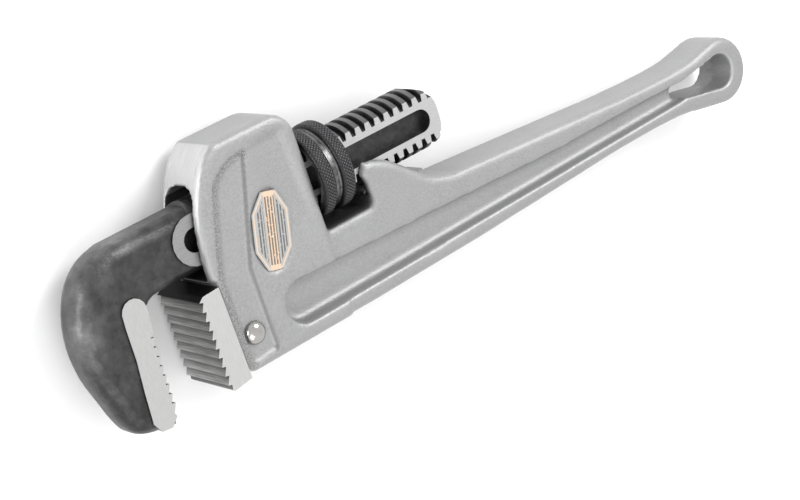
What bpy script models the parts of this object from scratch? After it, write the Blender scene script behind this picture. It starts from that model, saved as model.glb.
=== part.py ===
"""A straight pipe wrench with a light alloy handle, laid flat with its label side up.

Sizes are in millimetres, and the makers below turn them into metres. While it is built, the shank's axis
is the X axis: X runs from the jaws to the end of the handle, Y from the mouth to the back of the shank and
Z across the thickness. At the end the wrench is moved so that the middle of its underside is the origin.
"""

import math

import bmesh
import bpy
import numpy as np
from mathutils import Matrix, Vector

MM = 0.001

# Clearances
TOUCH = 0.3  # between pieces that bear on each other
HOLE_SLACK = 0.35  # round a pin or rivet, with a little over for the flats of a faceted hole
SLOT_PLAY = 0.35  # each side of the shank in its slot
NUT_PLAY = 0.4  # nut to the housing's rear face
BEYOND = 2.0  # how far a cutter stands out of the face it cuts

# Shank, and the thread on its two rounded edges
SHANK_RADIUS = 10.3
SHANK_HALF_THICKNESS = 7.1
SHANK_TAIL = 100.3
SHANK_RING_END = -0.1
THREAD_PITCH = 3.77
THREAD_DEPTH = 1.4
THREAD_START = 34.0
THREAD_STEPS = 20
THREAD_BEYOND = 0.6  # outside the crests, where the thread cutters end
GROOVE_ROOT_WIDTH = 1.3
GROOVE_MOUTH_WIDTH = 2.4  # at the cutter's end
THREAD_RADIAL_PLAY = 0.3
THREAD_AXIAL_PLAY = 0.28
RECESS_HALF_HEIGHT = 3.6
RECESS_DEPTH = 3.2
RING_WIDTH = 3.7
RING_END_RADIUS = 7.6
TAIL_CORNER = 0.85  # of the shank's radius

# Hook jaw
HOOK_STEP = 0.6  # the forging stands in from the shank's ground sides
NECK_TOP_DROP = 1.0  # and from its round top
NECK_BOTTOM_DROP = 0.7
HOOK_EDGE_RADIUS = 4.2
HOOK_THROAT_EDGE = 0.7  # share of that radius in the throat
PAD_PROUD = 0.05  # the teeth's pad stands out from the shank's sides
PAD_DROP = 5.3  # from the heel jaw's top to the hook's first tooth
PAD_TOP_RADIUS = 4.0
JAW_GAP = 14.7
HOOK_TIP = 46.4
TOOTH_PITCH = 2.87
TOOTH_DEPTH = 1.2
TOOTH_LAND = 0.25  # how far the steep face leans
JAW_FLARE = 2.2  # degrees that the hook's row of teeth opens towards the tip

# Heel jaw and its pin
HEEL_TOP_DROP = 3.85  # below the shank's lower edge
HEEL_LENGTH = 29.9
HEEL_HALF_WIDTH = 11.6
HEEL_DEPTH = 6.9
HEEL_FRONT = -0.5
FIRST_HEEL_TOOTH = 1.9  # below the heel jaw's top
TONGUE_HALF_WIDTH = 4.0
TONGUE_LENGTH = 12.0
TONGUE_DROP = 9.6  # from the heel jaw's top to the tongue
TONGUE_HEIGHT = 17.0
PIN_RADIUS = 2.4
PIN_HEAD_RADIUS = 3.4
PIN_HEAD_HEIGHT = 1.9
PIN_TO_FACE = 7.1
PEENED_LIP = 0.7  # of the pin's far end, past the pin's radius

# Housing
CHEEK = 2.85  # wall beside the shank's slot
HOUSING_ROOF = 10.1
HOUSING_EDGE_RADIUS = 2.2
ROCKING_ROOM = 3.3  # over the shank, under the roof
SLOT_DROP = 2.5  # under the shank
SLOT_CORNER = 4.6
WINDOW_FRONT = 48.9
REAR_LEAN = 0.8  # how far the rear face leans forward at the top
REAR_CORNER = 8.0
WALL_BEHIND_NUT = 5.2
WINDOW_CLEARANCE = 1.4  # under the nut
HOUSING_BOTTOM = -43.2

# Nut
NUT_WALL = 3.6  # of its collars, over the shank's crests
NUT_WAIST_WALL = 2.0
NUT_COLLAR = 4.6
NUT_WAIST = 2.5
NUT_CHAMFER = 0.7
NUT_MOUTH = 0.8  # chamfer of the bore
NUT_SIDES = 46

# Handle
HANDLE_END = 230.4
EYE_END_RADIUS = 11.3
EYE_CENTRE_Y = -34.2
HANDLE_STEP = 0.7  # the handle's root stands in from the housing's sides
HANDLE_END_HALF_THICKNESS = 8.0
HANDLE_EDGE_RADIUS = 2.4
WEB_HALF_THICKNESS = 4.6
WEB_FILLET = 2.0
EYE_RADIUS = 5.3  # at the middle of the thickness, where it is narrowest
EYE_DRAFT = 1.17  # growth of the eye from there to past each face
EYE_LENGTH = 24.0
EYE_NARROW_RADIUS = 2.3

# Saddle behind the nut, and the springs in it
SADDLE_TOP = -2.3
SADDLE_FLOOR_DROP = 2.6  # below the shank, just behind the nut
SADDLE_SLOPE = 0.11
SPRING_BEHIND_WALL = 8.5
RIVET_BEHIND_WALL = 20.5
LEAF_BEHIND_WALL = 2.5
LEAF_THICKNESS = 0.7
LEAF_HALF_WIDTH = 3.6
LEAF_LENGTH = 22.0
SPRING_RADIUS = 2.6
SPRING_WIRE_RADIUS = 0.45
SPRING_TURNS = 6
SPRING_POCKET_DEPTH = 8.6
SPRING_POCKET_PLAY = 0.6
RIVET_RADIUS = 1.0
RIVET_HEAD_RADIUS = 2.1
RIVET_LENGTH = 4.5

# Label and the shallow panel ahead of it
LABEL_LENGTH = 23.0
LABEL_WIDTH = 12.6
LABEL_THICKNESS = 0.25
LABEL_CENTRE = (29.9, -7.2)
LABEL_LEAN = 14.0
LABEL_CORNER = 6.0
LABEL_SEAT_DEPTH = 0.55
LABEL_SEAT_MARGIN = 1.3
PANEL_DEPTH = 0.7

# Sizes that follow from the ones above
HOOK_HALF_THICKNESS = SHANK_HALF_THICKNESS - HOOK_STEP
PAD_HALF_THICKNESS = SHANK_HALF_THICKNESS + PAD_PROUD
SLOT_HALF_WIDTH = SHANK_HALF_THICKNESS + SLOT_PLAY
HOUSING_HALF_THICKNESS = SLOT_HALF_WIDTH + CHEEK
HANDLE_ROOT_HALF_THICKNESS = HOUSING_HALF_THICKNESS - HANDLE_STEP
OUTSIDE = HOUSING_HALF_THICKNESS + BEYOND
SLOT_TOP = SHANK_RADIUS + ROCKING_ROOM
SLOT_BOTTOM = -SHANK_RADIUS - SLOT_DROP
HOUSING_TOP = SLOT_TOP + HOUSING_ROOF
HEEL_TOP = -SHANK_RADIUS - HEEL_TOP_DROP
HEEL_BOTTOM = HEEL_TOP - HEEL_LENGTH
HEEL_TEETH = int((HEEL_LENGTH - FIRST_HEEL_TOOTH - 1) / TOOTH_PITCH)
HOOK_TEETH = int((HOOK_TIP + HEEL_TOP - PAD_DROP - 3.5) / TOOTH_PITCH)
NUT_RADIUS = SHANK_RADIUS + NUT_WALL
NUT_WAIST_RADIUS = SHANK_RADIUS + NUT_WAIST_WALL
NUT_FRONT = WINDOW_FRONT + NUT_PLAY
NUT_LENGTH = 2 * NUT_COLLAR + NUT_WAIST
WINDOW_REAR = NUT_FRONT + NUT_LENGTH + WALL_BEHIND_NUT
WINDOW_FLOOR = -NUT_RADIUS - WINDOW_CLEARANCE
ROOT_RADIUS = SHANK_RADIUS - THREAD_DEPTH
PIN_Y = HEEL_TOP - TONGUE_DROP - TONGUE_HEIGHT / 2
PIN_X = HEEL_DEPTH + PIN_TO_FACE
SPRING_X = WINDOW_REAR + SPRING_BEHIND_WALL
RIVET_X = WINDOW_REAR + RIVET_BEHIND_WALL
EYE_END_X = HANDLE_END - EYE_END_RADIUS


# ---------------------------------------------------------------- outlines


def arc(centre, radius, start, end, steps):
    """Points along a circle, from one angle in degrees to another."""
    angles = np.radians(np.linspace(start, end, steps + 1))
    return [(centre[0] + radius * math.cos(a), centre[1] + radius * math.sin(a)) for a in angles]


def smooth(points, steps):
    """A Catmull-Rom curve through the points, with so many steps between each two."""
    ring = [points[0], *points, points[-1]]
    out = []
    for a, b, c, d in zip(ring, ring[1:], ring[2:], ring[3:]):
        for step in range(steps):
            t = step / steps
            weights = (
                0.5 * (-t + 2 * t**2 - t**3),
                0.5 * (2 - 5 * t**2 + 3 * t**3),
                0.5 * (t + 4 * t**2 - 3 * t**3),
                0.5 * (-(t**2) + t**3),
            )
            out.append(tuple(sum(w * p[i] for w, p in zip(weights, (a, b, c, d))) for i in (0, 1)))
    return [*out, points[-1]]


def racetrack(left, right, half_height, steps):
    """A slot shape between two X values."""
    left_end = arc((left + half_height, 0), half_height, 90, 270, steps)
    return left_end + arc((right - half_height, 0), half_height, -90, 90, steps)


def tooth_row(x, top, count, point_up, side):
    """Saw teeth down a line of constant X, pointing to one side, with their steep faces up or down."""
    out = []
    for number in range(count):
        y = top - number * TOOTH_PITCH
        root, tip = x - side * TOOTH_DEPTH, x
        drop = TOOTH_LAND if point_up else TOOTH_PITCH - TOOTH_LAND
        out += [(root, y), (tip, y - drop)]
    return out


# ---------------------------------------------------------------- makers


def collection(name):
    group = bpy.data.collections.new(name)
    bpy.context.scene.collection.children.link(group)
    return group


def finish_mesh(name, bm, group):
    """Makes an object of a bmesh whose points are in millimetres, and frees the bmesh."""
    bmesh.ops.scale(bm, vec=(MM, MM, MM), verts=bm.verts)
    bmesh.ops.recalc_face_normals(bm, faces=bm.faces)
    mesh = bpy.data.meshes.new(name)
    bm.to_mesh(mesh)
    bm.free()
    obj = bpy.data.objects.new(name, mesh)
    group.objects.link(obj)
    return obj


def prism(name, outline, low, high, group):
    """A flat outline in X and Y, from one Z to another, with plain end faces."""
    curve = bpy.data.curves.new(name, "CURVE")
    curve.dimensions = "2D"
    curve.fill_mode = "BOTH"
    curve.extrude = (high - low) / 2
    spline = curve.splines.new("POLY")
    spline.points.add(len(outline) - 1)
    for point, (x, y) in zip(spline.points, outline):
        point.co = (x, y, 0, 1)
    spline.use_cyclic_u = True
    holder = bpy.data.objects.new(name, curve)
    group.objects.link(holder)
    bpy.context.view_layer.update()
    flat = bpy.data.meshes.new_from_object(holder.evaluated_get(bpy.context.evaluated_depsgraph_get()))
    bpy.data.objects.remove(holder)
    bm = bmesh.new()
    bm.from_mesh(flat)
    bpy.data.meshes.remove(flat)
    bmesh.ops.remove_doubles(bm, verts=bm.verts, dist=1e-4)
    bmesh.ops.dissolve_limit(bm, angle_limit=math.radians(0.5), verts=bm.verts, edges=bm.edges)
    bmesh.ops.translate(bm, vec=(0, 0, (low + high) / 2), verts=bm.verts)
    return finish_mesh(name, bm, group)


def cylinder(name, radius, start, end, sides, group):
    """A round bar between two points, whose corners lie on the radius."""
    start, end = Vector(start), Vector(end)
    bm = bmesh.new()
    bmesh.ops.create_cone(
        bm,
        cap_ends=True,
        segments=sides,
        radius1=radius,
        radius2=radius,
        depth=(end - start).length,
        matrix=Matrix.Translation((start + end) / 2)
        @ Vector((0, 0, 1)).rotation_difference(end - start).to_matrix().to_4x4(),
    )
    return finish_mesh(name, bm, group)


def helix(name, profile, turns, pitch, steps, group):
    """A closed profile in X and radius, carried round the X axis while it advances."""
    bm = bmesh.new()
    face = bm.faces.new([bm.verts.new((x, radius, 0)) for x, radius in profile])
    bmesh.ops.spin(
        bm,
        geom=[face, *face.verts, *face.edges],
        cent=(0, 0, 0),
        axis=(1, 0, 0),
        dvec=(pitch / steps, 0, 0),
        angle=math.tau * turns,
        steps=round(steps * turns),
        use_duplicate=False,
    )
    bmesh.ops.holes_fill(bm, edges=bm.edges, sides=0)
    return finish_mesh(name, bm, group)


def turned(name, profile, sides, group, ring=False):
    """A solid turned about X. Its points, (x, radius), run towards +X. A ring has a closed profile."""
    mesh = bpy.data.meshes.new(name)
    points = [(x * MM, radius * MM, 0) for x, radius in profile]
    edges = [(i, i + 1) for i in range(len(points) - 1)]
    if ring:
        edges.append((len(points) - 1, 0))
    mesh.from_pydata(points, edges, [])
    obj = bpy.data.objects.new(name, mesh)
    group.objects.link(obj)
    screw = obj.modifiers.new("turn", "SCREW")
    screw.axis = "X"
    screw.steps = sides
    screw.render_steps = sides
    screw.use_merge_vertices = True
    screw.merge_threshold = 1e-6
    screw.use_normal_flip = True
    return obj


def round_edges(obj, radius, segments=3):
    bevel = obj.modifiers.new("round edges", "BEVEL")
    bevel.width = radius * MM
    bevel.segments = segments
    bevel.limit_method = "ANGLE"
    bevel.angle_limit = math.radians(75)
    bevel.use_clamp_overlap = False


def combine(obj, operation, others):
    for other in others:
        boolean = obj.modifiers.new(f"{operation.lower()} {other.name}", "BOOLEAN")
        boolean.operation = operation
        boolean.object = other
        boolean.solver = "EXACT"
        other.hide_render = True
        other.display_type = "WIRE"


def paint(obj, colour, roughness, metallic):
    material = bpy.data.materials.new(obj.name + "_material")
    material.use_nodes = True
    shader = material.node_tree.nodes["Principled BSDF"]
    shader.inputs["Base Color"].default_value = (*colour, 1)
    shader.inputs["Roughness"].default_value = roughness
    shader.inputs["Metallic"].default_value = metallic
    obj.data.materials.append(material)
    obj.data.shade_smooth()
    obj.data.set_sharp_from_angle(angle=math.radians(35))


# ---------------------------------------------------------------- handle casting


def front_edge():
    """The housing's front face seen from the side, from its top down to the heel jaw."""
    top = (20.5, HOUSING_TOP)
    return smooth([top, (14.8, HOUSING_TOP - 4.8), (8.7, 7.2), (6.4, -6.0), (6.2, HEEL_TOP + 1.2)], 3)


def housing_outline():
    seat = HEEL_DEPTH + TOUCH
    corner = REAR_CORNER
    outline = front_edge()
    outline += [(seat, HEEL_TOP + TOUCH), (seat + 0.65, HOUSING_BOTTOM + 2)]
    outline += [(seat + 3, HOUSING_BOTTOM), (WINDOW_FRONT, HOUSING_BOTTOM)]
    outline += arc((WINDOW_FRONT - REAR_LEAN - corner, HOUSING_TOP - corner), corner, -4, 90, 5)
    return outline


def saddle_outline():
    """The top edge of the two cheeks behind the nut, down to the handle."""
    rise = [(WINDOW_REAR - 0.8, SADDLE_TOP - 3), (WINDOW_REAR + 0.9, SADDLE_TOP)]
    fall = smooth(
        [
            (WINDOW_REAR + 4.3, SADDLE_TOP - 0.5),
            (WINDOW_REAR + 10.5, SADDLE_TOP - 3.2),
            (WINDOW_REAR + 17.5, SADDLE_TOP - 9),
            (WINDOW_REAR + 23.5, SADDLE_TOP - 14),
            (WINDOW_REAR + 31.5, SADDLE_TOP - 16.6),
        ],
        3,
    )
    return rise + fall


def handle_outline():
    neck = EYE_END_X - 24
    outline = [(WINDOW_FRONT - 12, WINDOW_FLOOR), (WINDOW_REAR - 1.5, WINDOW_FLOOR)]
    outline += [(WINDOW_REAR, WINDOW_FLOOR + 1.5)]
    outline += saddle_outline()
    outline += smooth([(neck - 60, -21.8), (neck - 25, -24.5), (neck, -25.6), (neck + 11, -25.2)], 2)
    outline += arc((EYE_END_X, EYE_CENTRE_Y), EYE_END_RADIUS, 100, -95, 14)
    outline += smooth([(neck + 9, -42.9), (neck, -41.3), (neck - 30, -40.7), (neck - 95, -42.6)], 2)
    outline += [(WINDOW_FRONT - 12, HOUSING_BOTTOM)]
    return outline


def handle_half_thickness(x):
    share = (x - WINDOW_FRONT) / (HANDLE_END - WINDOW_FRONT)
    return HANDLE_ROOT_HALF_THICKNESS + share * (HANDLE_END_HALF_THICKNESS - HANDLE_ROOT_HALF_THICKNESS)


def taper(obj):
    """Thins a bar of half thickness 1 towards the end of the handle."""
    for vertex in obj.data.vertices:
        vertex.co.z *= handle_half_thickness(vertex.co.x / MM)


def web_outline():
    """The long hollow on each side of the handle, which leaves a web between two flanges."""
    eye_mouth = EYE_END_X - EYE_LENGTH + 5
    end_y = EYE_CENTRE_Y + 0.9
    front = arc((33.4, -31.2), 6.8, 270, 100, 8)
    rear = [(eye_mouth, end_y + 3.2), (eye_mouth, end_y - 3.0)]
    return [*front, (84, -26.6), (139, -29.3), *rear, (110, -37.4)]


def eye_outline():
    """The hang slot: round at the end of the handle and narrow towards the web."""
    centre = (EYE_END_X - 2.6, EYE_CENTRE_Y + 0.4)
    narrow = (EYE_END_X - EYE_LENGTH + 3.5, EYE_CENTRE_Y + 0.9)
    return arc(centre, EYE_RADIUS, 96, -96, 12) + arc(narrow, EYE_NARROW_RADIUS, 258, 102, 5)


def eye_cutters(group):
    """The eye as the casting's two moulds leave it, widening from the middle to each face."""
    centre = Vector((EYE_END_X - EYE_LENGTH / 2, EYE_CENTRE_Y, 0)) * MM
    cutters = []
    for side in (-1, 1):
        cutter = prism(f"eye_cutter_{side}", eye_outline(), *sorted((-side * 0.5, side * OUTSIDE)), group)
        for vertex in cutter.data.vertices:
            if side * vertex.co.z > MM:
                flat = (vertex.co - centre) * EYE_DRAFT + centre
                vertex.co.x, vertex.co.y = flat.x, flat.y
        cutters.append(cutter)
    return cutters


def panel_outline():
    """A band behind the front face, from near the top down past the pin."""
    top = [(28.8, 16.9), (25.2, 16.5), (21.6, 15.2), (18.9, 13.3), (17.0, 10.6)]
    return [*top, (12.5, -4.1), (10.0, -13.2), (10.2, -40.4), (19.0, -40.0), (19.6, -38.5), (19.3, -14.4)]


def shallow_cut(name, outline, depth, group):
    return prism(name, outline, HOUSING_HALF_THICKNESS - depth, OUTSIDE, group)


def label_outline():
    """A long octagon, turned to lean with the housing's front."""
    half_l, half_w = LABEL_LENGTH / 2, LABEL_WIDTH / 2
    shoulder, cut = half_l - LABEL_CORNER, LABEL_CORNER * 0.62
    points = [(half_w, shoulder), (half_w - cut, half_l), (-half_w + cut, half_l), (-half_w, shoulder)]
    points += [(-x, -y) for x, y in points]
    turn = math.radians(-LABEL_LEAN)
    return [
        (
            LABEL_CENTRE[0] + x * math.cos(turn) - y * math.sin(turn),
            LABEL_CENTRE[1] + x * math.sin(turn) + y * math.cos(turn),
        )
        for x, y in points
    ]


def label_seat_outline():
    turn = math.radians(90 - LABEL_LEAN)
    angles = np.linspace(0, math.tau, 24, endpoint=False)
    half_l, half_w = LABEL_LENGTH / 2 + LABEL_SEAT_MARGIN, LABEL_WIDTH / 2 + LABEL_SEAT_MARGIN
    return [
        (
            LABEL_CENTRE[0] + half_l * math.cos(a) * math.cos(turn) - half_w * math.sin(a) * math.sin(turn),
            LABEL_CENTRE[1] + half_l * math.cos(a) * math.sin(turn) + half_w * math.sin(a) * math.cos(turn),
        )
        for a in angles
    ]


def slot_cutter(group):
    """The passage for the shank: straight sides and a round roof. It is drawn across X and then turned."""
    inset, shoulder = SLOT_HALF_WIDTH - SLOT_CORNER, SLOT_TOP - SLOT_CORNER
    section = arc((inset, shoulder), SLOT_CORNER, 0, 90, 5)
    section += arc((-inset, shoulder), SLOT_CORNER, 90, 180, 5)
    section += [(-SLOT_HALF_WIDTH, SLOT_BOTTOM), (SLOT_HALF_WIDTH, SLOT_BOTTOM)]
    cutter = prism("slot_cutter", section, -BEYOND, WINDOW_FRONT + BEYOND, group)
    cutter.data.transform(Matrix(((0, 0, 1, 0), (0, 1, 0, 0), (-1, 0, 0, 0), (0, 0, 0, 1))))
    return cutter


def saddle_floor(x):
    return -SHANK_RADIUS - SADDLE_FLOOR_DROP - (x - WINDOW_REAR) * SADDLE_SLOPE


def saddle_cutter(group):
    """The open channel between the cheeks, with a floor that falls away under the tail."""
    front, rear = WINDOW_REAR - BEYOND, WINDOW_REAR + 50
    outline = [(front, saddle_floor(front)), (rear, saddle_floor(rear)), (rear, 0), (front, 0)]
    return prism("saddle_cutter", outline, -SLOT_HALF_WIDTH, SLOT_HALF_WIDTH, group)


def web_cutters(group):
    cutters = []
    for side in (-1, 1):
        cutter = prism(
            f"web_cutter_{side}", web_outline(), *sorted((side * WEB_HALF_THICKNESS, side * OUTSIDE)), group
        )
        round_edges(cutter, WEB_FILLET)
        cutters.append(cutter)
    return cutters


def tongue_outline(front, grow, corner):
    """The heel jaw's tongue from the side, made larger by grow for the room it sits in."""
    end = HEEL_DEPTH + TONGUE_LENGTH + grow
    low, high = PIN_Y - TONGUE_HEIGHT / 2 - grow, PIN_Y + TONGUE_HEIGHT / 2 + grow
    tip = [(end - corner, low), (end, low + corner), (end, high - corner), (end - corner, high)]
    return [(front, low), *tip, (front, high)]


def heel_cutters(group):
    """The pocket for the heel jaw's tongue, and the hole for its pin."""
    half_width = TONGUE_HALF_WIDTH + TOUCH
    room = prism("tongue_room", tongue_outline(0, TOUCH, 1), -half_width, half_width, group)
    ends = (PIN_X, PIN_Y, -OUTSIDE), (PIN_X, PIN_Y, OUTSIDE)
    return [room, cylinder("pin_hole_cutter", PIN_RADIUS + HOLE_SLACK, *ends, 24, group)]


def spring_cutters(group):
    """The pocket for the coil spring and the hole for the leaf spring's rivet."""
    floor = saddle_floor(SPRING_X)
    ends = (SPRING_X, floor + BEYOND, 0), (SPRING_X, floor - SPRING_POCKET_DEPTH, 0)
    radius = SPRING_RADIUS + SPRING_WIRE_RADIUS + SPRING_POCKET_PLAY
    pocket = cylinder("pocket_cutter", radius, *ends, 20, group)
    floor = saddle_floor(RIVET_X)
    ends = (RIVET_X, floor + BEYOND, 0), (RIVET_X, floor - RIVET_LENGTH - TOUCH, 0)
    return [pocket, cylinder("rivet_hole_cutter", RIVET_RADIUS + HOLE_SLACK, *ends, 16, group)]


def make_handle(parts, cutters):
    handle = prism("handle", housing_outline(), -HOUSING_HALF_THICKNESS, HOUSING_HALF_THICKNESS, parts)
    round_edges(handle, HOUSING_EDGE_RADIUS)
    blade = prism("handle_blade", handle_outline(), -1, 1, cutters)
    taper(blade)
    round_edges(blade, HANDLE_EDGE_RADIUS)
    combine(handle, "UNION", [blade])
    combine(handle, "DIFFERENCE", [*web_cutters(cutters), *eye_cutters(cutters)])
    combine(handle, "DIFFERENCE", [slot_cutter(cutters), saddle_cutter(cutters)])
    combine(handle, "DIFFERENCE", [*heel_cutters(cutters), *spring_cutters(cutters)])
    panel = shallow_cut("panel_cutter", panel_outline(), PANEL_DEPTH, cutters)
    seat = shallow_cut("label_seat_cutter", label_seat_outline(), LABEL_SEAT_DEPTH, cutters)
    combine(handle, "DIFFERENCE", [panel, seat])
    paint(handle, (0.52, 0.53, 0.55), 0.42, 1.0)
    return handle


# ---------------------------------------------------------------- hook jaw


def hook_outline():
    """The forged hook, from the shank's top round the outside to the tip and back up the inside."""
    top, bottom = SHANK_RADIUS - NECK_TOP_DROP, -SHANK_RADIUS + NECK_BOTTOM_DROP
    inside = -JAW_GAP - 1.6
    outer = smooth(
        [
            (-17.0, top),
            (-24.0, top - 1.9),
            (-30.0, top - 6.6),
            (-34.2, top - 14.0),
            (-36.3, top - 23.3),
            (-35.8, top - 33.3),
            (-33.3, top - 42.3),
            (-31.7, -HOOK_TIP + 8.0),
            (-29.3, -HOOK_TIP + 3.3),
            (-25.2, -HOOK_TIP + 0.9),
            (inside - 4.0, -HOOK_TIP),
        ],
        3,
    )
    inner = [(inside - 1.2, -HOOK_TIP + 0.8), (inside - 0.6, -HOOK_TIP + 2.4), (inside, bottom - 8)]
    inner += arc((inside + 8, bottom - 6), 6.0, 165, 90, 5)
    return [(12, top), *outer, *inner, (12, bottom)]


def round_hook_edges(hook):
    """Rounds the forging's rims fully on the outside, less in the throat and not behind the teeth."""
    mesh = hook.data
    weights = mesh.attributes.new("bevel_weight_edge", "FLOAT", "EDGE")
    for edge in mesh.edges:
        a, b = (mesh.vertices[i].co / MM for i in edge.vertices)
        middle = (a + b) / 2
        inside = middle.x > -JAW_GAP - 4.5 and middle.y < 0
        behind_teeth = inside and middle.y < HEEL_TOP - 2
        if abs(a.z - b.z) < 1 and not behind_teeth:
            weights.data[edge.index].value = HOOK_THROAT_EDGE if inside else 1.0
    round_edges(hook, HOOK_EDGE_RADIUS)
    hook.modifiers[0].limit_method = "WEIGHT"


def pad_outline():
    """The ground face that carries the hook's teeth, with its round top."""
    top = HEEL_TOP - PAD_DROP
    inside = -JAW_GAP - TOOTH_DEPTH
    teeth = tooth_row(-JAW_GAP, top, HOOK_TEETH, True, 1)
    last = top - HOOK_TEETH * TOOTH_PITCH
    outline = [(-JAW_GAP + 0.5, HEEL_TOP - 1.5), (-JAW_GAP + 0.1, top + 0.8), *teeth]
    outline += [(inside, last), (inside + 0.4, last - 1.2), (-19.0, last - 3.6), (-22.3, last - 3.2)]
    outline += [(-24.2, last), (-23.5, last + 9), (-22.4, last + 19), (-22.1, HEEL_TOP + 0.4)]
    outline += arc((-17.9, HEEL_TOP + 3.6), PAD_TOP_RADIUS, 165, 0, 7)
    slope = math.tan(math.radians(JAW_FLARE))
    return [(x + (y - HEEL_TOP) * slope if x > inside - 0.1 and y < HEEL_TOP else x, y) for x, y in outline]


def shank_outline():
    end = RING_END_RADIUS
    outline = arc((SHANK_RING_END + end, 0), end, 90, 270, 10)
    outline += [(SHANK_RING_END + end + 3, -SHANK_RADIUS - 0.5)]
    corner = SHANK_RADIUS * TAIL_CORNER
    for side, start in ((-1, -90), (1, 0)):
        outline += arc((SHANK_TAIL - corner, side * (SHANK_RADIUS - corner)), corner, start, start + 90, 7)
    outline += [(SHANK_RING_END + end + 3, SHANK_RADIUS + 0.5)]
    return outline


def thread_section(centre_x, root_width, mouth_width):
    """A thread cutter's section in X and radius, from the thread's root to outside the crests."""
    mouth = SHANK_RADIUS + THREAD_BEYOND
    return [
        (centre_x - root_width / 2, ROOT_RADIUS),
        (centre_x + root_width / 2, ROOT_RADIUS),
        (centre_x + mouth_width / 2, mouth),
        (centre_x - mouth_width / 2, mouth),
    ]


def recess_cutters(group):
    """The long hollow on each side of the shank, which leaves its threaded rim."""
    track = racetrack(SHANK_RING_END + RING_WIDTH, SHANK_TAIL - RING_WIDTH, RECESS_HALF_HEIGHT, 10)
    floor = SHANK_HALF_THICKNESS - RECESS_DEPTH
    spans = (-OUTSIDE, -floor), (floor, OUTSIDE)
    return [prism(f"recess_cutter_{number}", track, *span, group) for number, span in enumerate(spans)]


def make_hook_jaw(parts, cutters):
    jaw = prism("hook_jaw", shank_outline(), -SHANK_HALF_THICKNESS, SHANK_HALF_THICKNESS, parts)
    bar = cylinder("shank_bar", SHANK_RADIUS, (-BEYOND, 0, 0), (SHANK_TAIL + BEYOND, 0, 0), 64, cutters)
    turns = math.ceil((SHANK_TAIL - THREAD_START) / THREAD_PITCH)
    groove = thread_section(THREAD_START, GROOVE_ROOT_WIDTH, GROOVE_MOUTH_WIDTH)
    thread = helix("thread_cutter", groove, turns, THREAD_PITCH, THREAD_STEPS, cutters)
    hook = prism("hook_forging", hook_outline(), -HOOK_HALF_THICKNESS, HOOK_HALF_THICKNESS, cutters)
    round_hook_edges(hook)
    pad = prism("hook_pad", pad_outline(), -PAD_HALF_THICKNESS, PAD_HALF_THICKNESS, cutters)
    combine(jaw, "INTERSECT", [bar])
    combine(jaw, "UNION", [hook, pad])
    combine(jaw, "DIFFERENCE", [thread, *recess_cutters(cutters)])
    paint(jaw, (0.035, 0.036, 0.038), 0.45, 0.7)
    return jaw


# ---------------------------------------------------------------- nut, heel jaw and pin


def nut_profile():
    """The nut's section: two collars with a waist between them, and the bore."""
    bore = (ROOT_RADIUS + THREAD_RADIAL_PLAY) / math.cos(math.pi / NUT_SIDES)
    start, end = NUT_FRONT, NUT_FRONT + NUT_LENGTH
    outline = []
    for left in (start, end - NUT_COLLAR):
        right = left + NUT_COLLAR
        outline += [(left, NUT_RADIUS - NUT_CHAMFER), (left + NUT_CHAMFER, NUT_RADIUS)]
        outline += [(right - NUT_CHAMFER, NUT_RADIUS), (right, NUT_RADIUS - NUT_CHAMFER)]
        if left == start:
            outline += [(right + 0.3, NUT_WAIST_RADIUS), (end - NUT_COLLAR - 0.3, NUT_WAIST_RADIUS)]
    mouth = bore + NUT_MOUTH
    return [*outline, (end, mouth), (end - NUT_MOUTH, bore), (start + NUT_MOUTH, bore), (start, mouth)]


def make_nut(parts, cutters):
    nut = turned("adjusting_nut", nut_profile(), NUT_SIDES, parts, ring=True)
    root = THREAD_PITCH - GROOVE_ROOT_WIDTH + 2 * THREAD_AXIAL_PLAY
    mouth = THREAD_PITCH - GROOVE_MOUTH_WIDTH + 2 * THREAD_AXIAL_PLAY
    first = THREAD_START + THREAD_PITCH / 2
    first += THREAD_PITCH * (math.floor((NUT_FRONT - first) / THREAD_PITCH) - 1)
    turns = math.ceil(NUT_LENGTH / THREAD_PITCH) + 3
    section = thread_section(first, root, mouth)
    thread = helix("nut_thread_cutter", section, turns, THREAD_PITCH, THREAD_STEPS, cutters)
    combine(nut, "DIFFERENCE", [thread])
    paint(nut, (0.02, 0.02, 0.021), 0.4, 0.8)
    return nut


def heel_outline():
    """The heel jaw from the side: teeth that point at the hook, and a top that slopes back."""
    first = HEEL_TOP - FIRST_HEEL_TOOTH
    root = HEEL_FRONT + TOOTH_DEPTH
    teeth = tooth_row(HEEL_FRONT, first, HEEL_TEETH, False, -1)
    last = first - HEEL_TEETH * TOOTH_PITCH
    outline = [(HEEL_DEPTH, HEEL_TOP), (root + 0.4, HEEL_TOP - 0.3), (HEEL_FRONT, HEEL_TOP - 1.5)]
    outline += [*teeth, (root, last), (root - 0.2, HEEL_BOTTOM + 0.6), (root + 0.3, HEEL_BOTTOM)]
    return [*outline, (HEEL_DEPTH + 0.6, HEEL_BOTTOM + 0.9)]


def make_heel_jaw(parts, cutters):
    jaw = prism("heel_jaw", heel_outline(), -HEEL_HALF_WIDTH, HEEL_HALF_WIDTH, parts)
    outline = tongue_outline(HEEL_DEPTH - BEYOND, 0, 2)
    tongue = prism("heel_tongue", outline, -TONGUE_HALF_WIDTH, TONGUE_HALF_WIDTH, cutters)
    ends = (PIN_X, PIN_Y, -OUTSIDE), (PIN_X, PIN_Y, OUTSIDE)
    hole = cylinder("tongue_hole_cutter", PIN_RADIUS + HOLE_SLACK, *ends, 24, cutters)
    combine(jaw, "UNION", [tongue])
    combine(jaw, "DIFFERENCE", [hole])
    paint(jaw, (0.22, 0.22, 0.225), 0.38, 0.9)
    return jaw


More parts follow.
